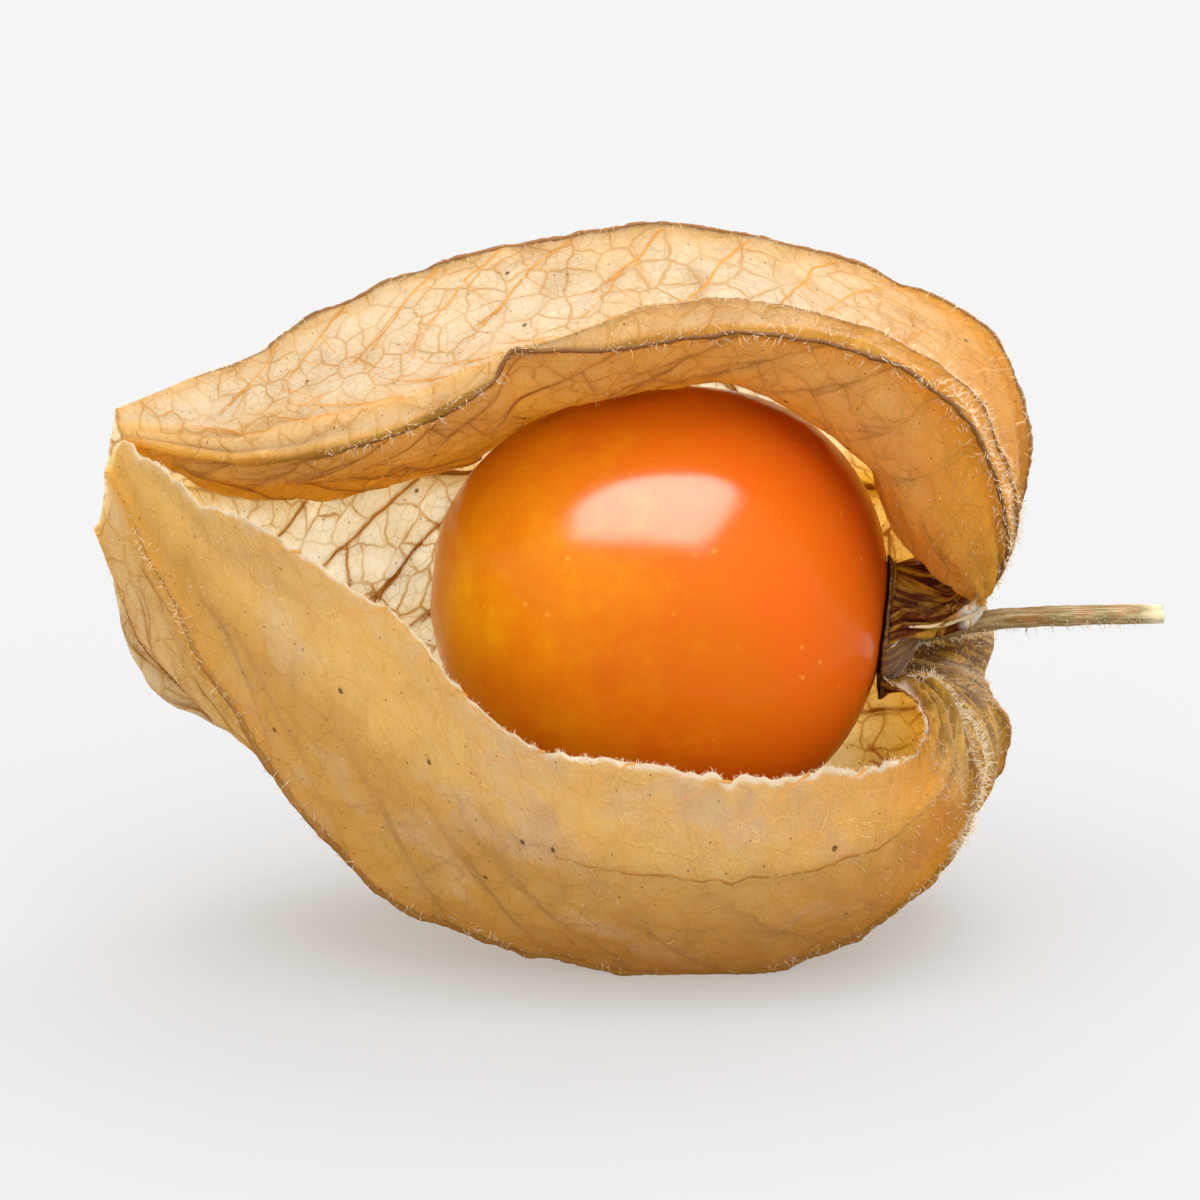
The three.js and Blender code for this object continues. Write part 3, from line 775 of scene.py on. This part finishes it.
def new_tree(name, sockets):
    """A geometry tree with named inputs, given as (name, kind, value)."""
    tree = bpy.data.node_groups.new(name, "GeometryNodeTree")
    tree.interface.new_socket("Geometry", in_out="INPUT", socket_type="NodeSocketGeometry")
    for label, kind, value in sockets:
        socket = tree.interface.new_socket(label, in_out="INPUT", socket_type=kind)
        if value is not None:
            socket.default_value = value
    tree.interface.new_socket("Geometry", in_out="OUTPUT", socket_type="NodeSocketGeometry")
    return tree


def grown(piece, tree, values):
    """Runs a geometry tree on a piece and leaves its result as the piece's plain mesh."""
    modifier = piece.modifiers.new("grow", "NODES")
    modifier.node_group = tree
    for item in tree.interface.items_tree:
        if item.in_out == "INPUT" and item.name in values:
            modifier[item.identifier] = values[item.name]
    depsgraph = bpy.context.evaluated_depsgraph_get()
    result = bpy.data.meshes.new_from_object(piece.evaluated_get(depsgraph))
    piece.modifiers.remove(modifier)
    piece.data = result
    result.name = piece.name


# Strands: a round tube along each line of points, as thick as the points say
strand_tree = new_tree("strands", [("Thickness", "NodeSocketFloat", 1.0),
                                   ("Sides", "NodeSocketInt", 6),
                                   ("Material", "NodeSocketMaterial", None)])
given = add(strand_tree, "NodeGroupInput")
path = add(strand_tree, "GeometryNodeMeshToCurve", links={"Mesh": (given, "Geometry")})
thick = add(strand_tree, "GeometryNodeInputNamedAttribute", {"Name": "thick"}, data_type="FLOAT")
scaled = sum_of(strand_tree, "MULTIPLY", (thick, "Attribute"), (given, "Thickness"))
profile = add(strand_tree, "GeometryNodeCurvePrimitiveCircle", {"Radius": 1.0},
              {"Resolution": (given, "Sides")})
tube = add(strand_tree, "GeometryNodeCurveToMesh", {"Fill Caps": True},
           {"Curve": (path, "Curve"), "Profile Curve": (profile, "Curve"), "Scale": scaled})
real = add(strand_tree, "GeometryNodeRealizeInstances", links={"Geometry": (tube, "Mesh")})
painted = add(strand_tree, "GeometryNodeSetMaterial",
              links={"Geometry": (real, "Geometry"), "Material": (given, "Material")})
add(strand_tree, "NodeGroupOutput", links={"Geometry": (painted, "Geometry")})


def strands(name, paths, material, sides=6):
    """One piece of tubes along paths, each given as (points, radii in millimetres, darkness)."""
    points, edges, radii, darkness = [], [], [], []
    for line, radius, dark in paths:
        first = len(points)
        points += line.tolist()
        radii += np.broadcast_to(radius, len(line)).tolist()
        darkness += np.broadcast_to(dark, len(line)).tolist()
        edges += [(first + k, first + k + 1) for k in range(len(line) - 1)]
    piece = new_object(name, points, edges)
    store(piece, "thick", radii)
    store(piece, "dark", darkness)
    grown(piece, strand_tree, {"Thickness": MM, "Sides": sides, "Material": material})
    piece.data.polygons.foreach_set("use_smooth", [True] * len(piece.data.polygons))
    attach(piece, "root")


# Place of each rib, thickness in millimetres, darkness, and the station it ends at: front keel,
# front rib, top keel, back keel, under keel, foot keel, apron, upper and lower back, under side
RIBS = [(1, 0.11, 0.9, 7.95), (2, 0.08, 0.7, 6.1), (3, 0.13, 0.8, 8.9), (4, 0.17, 0.4, 8.9),
        (5, 0.15, 0.45, 8.9), (6, 0.17, 0.6, 8.9), (6.52, 0.075, 0.3, 6.6), (3.5, 0.11, 0.2, 8.6),
        (4.5, 0.11, 0.2, 8.6), (5.5, 0.11, 0.2, 8.6)]
# Short ribs pucker the skin round the neck
RIBS += [(place, 0.09, 0.5, 1.9 + 0.35 * (k % 4))
         for k, place in enumerate(np.arange(2.3, 6.95, 0.31))]
RIB_POINTS, VEIN_POINTS, FORK_POINTS = 360, 26, 14


def waver(s, x, y, seed):
    """Slow noise along a line of numbers, different for each x and y."""
    return rough(np.stack([s, s * 0 + x, s * 0 + y], 1), 1, seed)


rib_paths = []
for place, thickness, darkness, end in RIBS:
    s = np.linspace(0.25, end, RIB_POINTS)
    lean = 0.012 * waver(s * 2, place, 0, 3)
    line = above_wall(s, place + lean, 0.03)
    fade = np.clip((end - s) / 1.2, 0.25, 1) * np.clip(0.5 + s / 2, 0, 1)
    knots = 1 + 0.45 * rough(line, 0.8, 6, 2) + 0.35 * rough(line, 0.25, 16, 2)
    rib_paths.append((line, thickness * fade * knots, darkness))
strands("husk_ribs", rib_paths, vein_strand)

chance = np.random.default_rng(7)
vein_paths = []
VEINS_END = 8.6  # the last station a vein reaches
for panel, (_, count) in enumerate(PANELS):
    if count < 14:  # too narrow for side veins
        continue
    thickest = 0.085 if panel == len(PANELS) - 1 else 0.112
    panel_width = reach[:, crease_columns[panel + 1]] - reach[:, crease_columns[panel]]
    for side_of, begin in ((0, 0.9), (1, 1.15)):
        s0 = begin
        while s0 < 8.0:
            width = max(float(np.interp(s0, stations, panel_width)), 1.0)
            span = min(0.56, 5.6 / width) * chance.uniform(0.8, 1.1)
            lead = span * width * chance.uniform(0.75, 1.15) / 6.2  # stations it gains on its way
            t = np.linspace(0, 1, VEIN_POINTS)
            s = s0 + lead * (t**0.85) + 0.05 * waver(t * 4, s0, panel, 2)
            w = span * t + 0.012 * waver(t * 5, s0 * 3, panel, 8)
            place = panel + (w if side_of == 0 else 1 - w)
            keep = s < VEINS_END
            if keep.sum() > 6:
                vein_paths.append((on_wall(wall, s[keep], place[keep]),
                                   thickest * (1 - 0.3 * t[keep]), 0.0))
                for fork in chance.uniform(0.25, 0.8, 3):
                    u = np.linspace(0, 1, FORK_POINTS)
                    fork_side = chance.choice([-1, 1])
                    at = int(fork * (VEIN_POINTS - 1))
                    fs = s[at] + fork_side * u * 0.28 * chance.uniform(0.6, 1.3) + 0.1 * u
                    fw = w[at] + u * 0.16 * chance.uniform(0.7, 1.3)
                    fw = fw + 0.01 * waver(u * 5, fork * 9, s0, 8)
                    fplace = panel + (fw if side_of == 0 else 1 - fw)
                    keep_fork = (fs > 0.5) & (fs < VEINS_END) & (fw < 0.8)
                    if keep_fork.sum() > 4:
                        vein_paths.append((on_wall(wall, fs[keep_fork], fplace[keep_fork]),
                                           0.85 * thickest * (1 - 0.2 * u[keep_fork]), 0.0))
            s0 += chance.uniform(0.42, 0.62)
strands("husk_side_veins", vein_paths, vein_strand, sides=5)

# ---------------------------------------------------------------------------------------------
# The husk's down: fine pale hairs, longest and thickest along the keels and round the neck, and a
# short nap over all of its outer face.
# ---------------------------------------------------------------------------------------------
# Plant hair: pale, dry and thin enough that light goes round and through it
pale_hair, tree = new_material("pale_plant_hair")
lit_through(tree, 0.6, 0.05, colour="#F0E2C4", glow="#FFF4DC", passing=0.5)

# Down: one tapered, bent hair on each root, turned along its own direction
down_tree = new_tree("down", [("Hair Thickness", "NodeSocketFloat", 0.02),
                              ("Bend", "NodeSocketFloat", 0.4), ("Seed", "NodeSocketInt", 1),
                              ("Material", "NodeSocketMaterial", None)])
given = add(down_tree, "NodeGroupInput")
bend_end = add(down_tree, "ShaderNodeCombineXYZ", {"Y": 0.0, "Z": 0.86}, {"X": (given, "Bend")})
stem_line = add(down_tree, "GeometryNodeCurveQuadraticBezier",
                {"Resolution": 4, "Start": (0, 0, 0), "Middle": (0, 0, 0.62)},
                {"End": (bend_end, "Vector")})
how_far = add(down_tree, "GeometryNodeSplineParameter")
taper = add(down_tree, "ShaderNodeMapRange", {"To Min": 1.0, "To Max": 0.2},
            {"Value": (how_far, "Factor")})
hair_scale = sum_of(down_tree, "MULTIPLY", (taper, "Result"), (given, "Hair Thickness"))
ring3 = add(down_tree, "GeometryNodeCurvePrimitiveCircle", {"Resolution": 3, "Radius": 1.0})
hair = add(down_tree, "GeometryNodeCurveToMesh",
           links={"Curve": (stem_line, "Curve"), "Profile Curve": (ring3, "Curve"),
                  "Scale": hair_scale})
grow = add(down_tree, "GeometryNodeInputNamedAttribute", {"Name": "grow"}, data_type="FLOAT_VECTOR")
long = add(down_tree, "GeometryNodeInputNamedAttribute", {"Name": "long"}, data_type="FLOAT")
spin = add(down_tree, "FunctionNodeRandomValue", {3: math.tau}, {"Seed": (given, "Seed")},
           data_type="FLOAT")
spin_turn = add(down_tree, "FunctionNodeAxisAngleToRotation", {"Axis": (0, 0, 1)},
                {"Angle": (spin, 1)})
stand = add(down_tree, "FunctionNodeAlignRotationToVector", {"Factor": 1.0},
            {"Vector": (grow, "Attribute")}, axis="Z")
turned = add(down_tree, "FunctionNodeRotateRotation",
             links={"Rotation": (stand, "Rotation"), "Rotate By": (spin_turn, "Rotation")},
             rotation_space="LOCAL")
spread_out = add(down_tree, "GeometryNodeInstanceOnPoints",
                 links={"Points": (given, "Geometry"), "Instance": (hair, "Mesh"),
                        "Rotation": (turned, "Rotation"), "Scale": (long, "Attribute")})
real = add(down_tree, "GeometryNodeRealizeInstances", links={"Geometry": (spread_out, "Instances")})
painted = add(down_tree, "GeometryNodeSetMaterial",
              links={"Geometry": (real, "Geometry"), "Material": (given, "Material")})
add(down_tree, "NodeGroupOutput", links={"Geometry": (painted, "Geometry")})


def down(name, beds, bend, thickness, seed):
    """Hairs on beds of (roots, directions, lengths); thickness is a share of a hair's length."""
    roots, directions, lengths = (np.concatenate(parts) for parts in zip(*beds))
    clear = roots[:, 2] + lengths * np.minimum(directions[:, 2] - 0.3, 0) > 0.05  # of the table
    roots, directions, lengths = roots[clear], directions[clear], lengths[clear]
    piece = new_object(name, roots)
    layer = piece.data.attributes.new("grow", "FLOAT_VECTOR", "POINT")
    layer.data.foreach_set("vector", directions.astype(np.float32).ravel())
    store(piece, "long", lengths * MM)
    grown(piece, down_tree,
          {"Hair Thickness": thickness, "Bend": bend, "Seed": seed, "Material": pale_hair})
    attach(piece, "root")


def leaning(directions, amount):
    """Directions, each turned aside at random."""
    lean = directions + amount * chance.normal(size=directions.shape)
    return lean / np.linalg.norm(lean, axis=1, keepdims=True)


def bed_on_wall(s, place, lift, lean, shortest, longest):
    """A bed of hairs on the husk's outer face, lifted a little off the middle of the wall."""
    return (above_wall(s, place, lift), leaning(on_wall(normal, s, place), lean),
            chance.uniform(shortest, longest, len(s)))


# Keels: (place, hairs, from station, to station, length)
KEEL_DOWN = [(1, 620, 1.0, 7.6, 0.38), (2, 420, 1.0, 7.0, 0.34), (3, 620, 1.0, 8.8, 0.3),
             (4, 300, 0.4, 8.8, 0.34), (5, 300, 0.4, 8.8, 0.34), (6, 760, 0.8, 8.8, 0.36)]
beds = []
for place, hairs, low, high, length in KEEL_DOWN:
    s = low + (high - low) * chance.random(hairs) ** 1.25
    p = place + chance.normal(0, 0.018, hairs)
    longer_by_neck = 1 + 0.7 * np.clip((2.2 - s) / 2, 0, 1)
    beds.append(bed_on_wall(s, p, 0.09, 0.45, length * 0.5 * longer_by_neck,
                            length * 1.3 * longer_by_neck))
# Patches: (hairs, from station, to station, from place, to place, longest)
PATCHES = [(500, 0.7, 3.0, 3.9, 6.8, 0.3), (350, 0.4, 1.6, 3.8, 4.7, 0.35),
           (1000, 0.9, 3.4, 0.9, 2.3, 0.45)]
PATCHES += [(60, 0.5, 2.4, place - 0.02, place + 0.02, 0.4)
            for place in np.arange(3.85, 6.95, 0.31)]
for hairs, low, high, place_low, place_high, longest in PATCHES:
    s = low + (high - low) * chance.random(hairs) ** 1.2
    p = chance.uniform(place_low, place_high, hairs)
    beds.append(bed_on_wall(s, p, 0.06, 0.6, 0.35 * longest, longest))
# The thickest down, in tufts along the rib that curves down from the stalk
TUFT_HAIRS = 460
s = chance.uniform(0.45, 3.0, TUFT_HAIRS)
p = np.interp(s, [0.45, 1.0, 1.3, 1.6, 1.8, 2.25, 3.0], [6.4, 6.15, 5.95, 5.82, 5.85, 6.0, 6.03])
p += chance.normal(0, 0.014, TUFT_HAIRS)
beds.append(bed_on_wall(s, p, 0.06, 0.7, 0.25, 0.7))
down("husk_keel_down", beds, bend=0.45, thickness=0.05, seed=1)
NAP_HAIRS = 5200
s = 0.5 + 8.3 * chance.random(NAP_HAIRS)
p = chance.uniform(0.02, 6.98, NAP_HAIRS)
nap = bed_on_wall(s, p, 0.06, 0.8, 0.08, 0.24)
down("husk_nap", [nap], bend=0.6, thickness=0.07, seed=2)

# ---------------------------------------------------------------------------------------------
# The torn margins: by the stalk the edge is folded double into a thick cream lip with a rounded
# corner, and short torn fibres stand out from both edges.
# ---------------------------------------------------------------------------------------------
# Bare calyx skin: the husk's pale, dull inside, thick where it is folded
bare_lip, tree = new_material("bare_calyx_lip")
lit_through(tree, 0.6, 0.1, colour="#EFDDB0", glow="#F6E4B4", passing=0.35)
s = np.linspace(0.35, 2.7, 90)
lip_place = np.interp(s, [0.35, 1.2, 1.5, 1.75, 2.0, 2.7], [0.5, 0.46, 0.38, 0.14, 0.03, 0.02])
lip_line = above_wall(s, lip_place, -0.1)
SMOOTH_OVER = 25  # points
padded = np.pad(lip_line, ((SMOOTH_OVER // 2,) * 2, (0, 0)), mode="edge")
lip_line = np.stack([np.convolve(padded[:, axis], np.ones(SMOOTH_OVER) / SMOOTH_OVER, "valid")
                     for axis in range(3)], 1)
lip_radius = np.interp(s, [0.35, 0.8, 1.4, 1.7, 2.1, 2.7], [0.04, 0.09, 0.15, 0.22, 0.14, 0.04])
strands("torn_lip", [(lip_line, lip_radius, 0.0)], bare_lip, sides=10)

FRINGE_HAIRS = 1100  # along each edge
beds = []
for column, inner in ((0, 1), (COLUMNS - 1, COLUMNS - 2)):
    s = 0.4 + 8.2 * chance.random(FRINGE_HAIRS)
    rows = np.interp(s, stations, np.arange(ROWS)).round().astype(int)
    outwards = wall[rows, column] - wall[rows, inner]
    outwards /= np.maximum(np.linalg.norm(outwards, axis=1, keepdims=True), 1e-9)
    along = chance.uniform(0, 1, (FRINGE_HAIRS, 1))
    neighbour = wall[np.minimum(rows + 1, ROWS - 1), column]
    beds.append((wall[rows, column] * along + neighbour * (1 - along) - outwards * 0.05,
                 leaning(outwards, 0.45), chance.uniform(0.08, 0.3, FRINGE_HAIRS)))
down("torn_fringe", beds, bend=0.5, thickness=0.07, seed=4)

# ---------------------------------------------------------------------------------------------
# The stalk: a dry, downy, green-brown stem about 1 mm thick, cut off square and frayed. Its inner
# end swells to the receptacle, the green disc that carries the berry.
# ---------------------------------------------------------------------------------------------
STALK_ROUTE = [(12.0, 0, 13.2), (12.6, -0.1, 13.25), (15.5, -0.3, 13.85), (19.5, -0.3, 14.1),
               (23.25, -0.3, 14.15)]
STALK_RADIUS, STALK_RINGS, STALK_SIDES = 0.47, 220, 48
STALK_LENGTH = 11.8  # along the route, for the map

# Dry plant stem: olive under a brown skin that has flaked in pale dry streaks, with a downy surface
stem_fibre, tree = new_material("dry_green_stem")
stem_map = (add(tree, "ShaderNodeUVMap", uv_map="stem"), "UV")
stretched = add(tree, "ShaderNodeMapping", {"Scale": (0.55, 7.0, 1)}, {"Vector": stem_map})
streak = cloudy(tree, (stretched, "Vector"), 1.0, 6, 0.7, 0.4)
patch = cloudy(tree, stem_map, 0.8, 4, 0.7, 0.8)
stem_split = add(tree, "ShaderNodeSeparateXYZ", links={"Vector": stem_map})
dry_end = between(tree, (stem_split, "X"), 4.2, 7.6)
cut = (add(tree, "ShaderNodeAttribute", attribute_name="cut"), "Fac")
flaked = sum_of(tree, "MULTIPLY", between(tree, streak, 0.42, 0.62),
                sum_of(tree, "ADD", sum_of(tree, "MULTIPLY", dry_end, 0.5), 0.08))
tone = socket_mix(tree, between(tree, patch, 0.4, 0.62), "#6E6030", "#8A6036")
tone = socket_mix(tree, flaked, tone, "#CDBC92")
tone = socket_mix(tree, sum_of(tree, "MULTIPLY", cut, 0.7), tone, "#E6D6B0")
stem_relief = add(tree, "ShaderNodeBump", {"Strength": 0.8, "Distance": 0.00012}, {"Height": streak})
stem = add(tree, "ShaderNodeBsdfPrincipled", {"Roughness": 0.75, "Specular IOR Level": 0.05},
           {"Base Color": tone, "Normal": (stem_relief, "Normal")})
add(tree, "ShaderNodeOutputMaterial", links={"Surface": (stem, "BSDF")})

rings = np.linspace(0, len(STALK_ROUTE) - 1, STALK_RINGS)
route = spline(STALK_ROUTE, rings)
direction = np.gradient(route, axis=0)
direction /= np.linalg.norm(direction, axis=1, keepdims=True)
sideways = np.cross(direction, [0, 0, 1.0])
sideways /= np.linalg.norm(sideways, axis=1, keepdims=True)
upwards = np.cross(sideways, direction)
turns = np.arange(STALK_SIDES) / STALK_SIDES * 2 * np.pi
share = rings / rings[-1]
radius = STALK_RADIUS * (1 + 0.5 * np.exp(-(((share - 0.03) / 0.04) ** 2)) - 0.1 * share)
ribs = 1 + 0.05 * np.sin(5 * turns + 0.4) + 0.025 * np.sin(11 * turns)
spread = radius[:, None] * ribs[None, :]
skin_points = (route[:, None, :] + spread[..., None] * (
    np.cos(turns)[None, :, None] * upwards[:, None, :]
    + np.sin(turns)[None, :, None] * sideways[:, None, :]))
wobble = rough(skin_points * np.array([0.5, 1, 1]), 0.55, 9, 3)
skin_points += (skin_points - route[:, None, :]) * (0.09 * wobble)[..., None]
fray = rough(np.stack([np.cos(turns) * 2, np.sin(turns) * 2, turns * 0], 1), 0.4, 4, 3)
skin_points[-3:, :, 0] += (0.14 * fray)[None, :] * np.array([0.4, 0.7, 1.0])[:, None]
grid = np.arange(STALK_RINGS * STALK_SIDES).reshape(STALK_RINGS, STALK_SIDES)
closed = np.concatenate([grid, grid[:, :1]], axis=1)
faces = quads(closed[:-1, :-1], closed[:-1, 1:], closed[1:, 1:], closed[1:, :-1]).tolist()
inner_end, outer_end = grid.size, grid.size + 1
points = np.concatenate([skin_points.reshape(-1, 3), [route[0], route[-1] - [0.12, 0, 0]]])
for j in range(STALK_SIDES):
    k = (j + 1) % STALK_SIDES
    faces.append((int(grid[0, k]), int(grid[0, j]), inner_end))
    faces.append((int(grid[-1, j]), int(grid[-1, k]), outer_end))
stalk = new_piece("downy_stalk", points, faces, stem_fibre)
cut_share = np.repeat(np.clip((share - 0.93) / 0.05, 0, 1)[:, None], STALK_SIDES, axis=1).ravel()
store(stalk, "cut", np.append(cut_share, [0, 1]))
stem_flat = np.stack([np.repeat((share * STALK_LENGTH)[:, None], STALK_SIDES, axis=1),
                      np.repeat((np.sin(turns) * 1.2)[None, :], STALK_RINGS, axis=0)], axis=2)
stem_flat = np.concatenate([stem_flat.reshape(-1, 2), [[0, 0], [STALK_LENGTH, 0]]])
lay_map(stalk, "stem", stem_flat[corners_of(stalk)])
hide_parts("stalk")
STALK_HAIRS = 900
i = chance.integers(4, STALK_RINGS - 8, STALK_HAIRS)
j = chance.integers(0, STALK_SIDES, STALK_HAIRS)
roots = skin_points[i, j]
outwards = (roots - route[i]) / np.linalg.norm(roots - route[i], axis=1, keepdims=True)
under = np.clip(0.45 - 0.55 * outwards[:, 2], 0.25, 1)  # longer hairs on its underside
bed = (roots - outwards * 0.02, leaning(outwards, 0.5),
       0.42 * under * chance.uniform(0.5, 1.2, STALK_HAIRS))
down("stalk_down", [bed], bend=0.5, thickness=0.05, seed=3)
